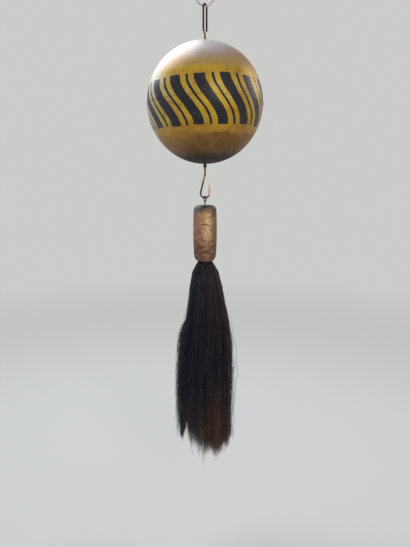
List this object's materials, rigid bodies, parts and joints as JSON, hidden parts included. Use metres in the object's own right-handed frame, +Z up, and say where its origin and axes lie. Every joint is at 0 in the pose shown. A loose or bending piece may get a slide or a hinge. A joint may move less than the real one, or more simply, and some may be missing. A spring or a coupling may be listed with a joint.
{
  "type": "hanging barber sign",
  "caption": "Hanging barber's sign: painted sheet metal ball that turns on an iron rod with an eye and an open hook, and a turned wooden tassel head with horsehair hooked on below.",
  "frame": {"origin": "point at the top inside of the hanging ring, where a bracket's hook carries the sign", "axes": "+Z up along the rod; -Y is the front that the picture shows; +X to the right of that view"},
  "size_m": [0.2514, 0.2514, 1.1012],
  "materials": {
    "ring_steel": "satin",
    "rod_iron": "matte",
    "ball_upper_paint": "satin",
    "ball_lower_paint": "satin",
    "washer_iron": "matte",
    "collar_iron": "matte",
    "pin_brass": "satin",
    "eye_iron": "matte",
    "head_wood": "satin",
    "hair_root_pitch": "matte",
    "binding_copper": "satin",
    "hair_black": "satin"
  },
  "bodies": {
    "ring": {"hanging_ring": "ring_steel"},
    "rod": {"hook_rod": "rod_iron", "support_collar": "collar_iron", "collar_pin": "pin_brass"},
    "ball": {"ball_upper": "ball_upper_paint", "ball_lower": "ball_lower_paint", "crown_washer": "washer_iron", "foot_washer": "washer_iron"},
    "tassel": {"tassel_eye": "eye_iron", "head_washer": "washer_iron", "tassel_head": "head_wood", "hair_root": "hair_root_pitch", "root_binding": "binding_copper", "horsehair": "hair_black"}
  },
  "joints": [
    {"name": "rod_swing", "type": "hinge", "parent": "ring", "child": "rod", "pos_m": [0, 0, -0.0343], "axis": [1, 0, 0], "range_deg": [-75, 75]},
    {"name": "ball_spin", "type": "hinge", "parent": "rod", "child": "ball", "pos_m": [0, 0, -0.22651], "axis": [0, 0, 1], "continuous": true},
    {"name": "tassel_swing", "type": "hinge", "parent": "rod", "child": "tassel", "pos_m": [0, 0, -0.42558], "axis": [1, 0, 0], "range_deg": [-75, 75]}
  ]
}
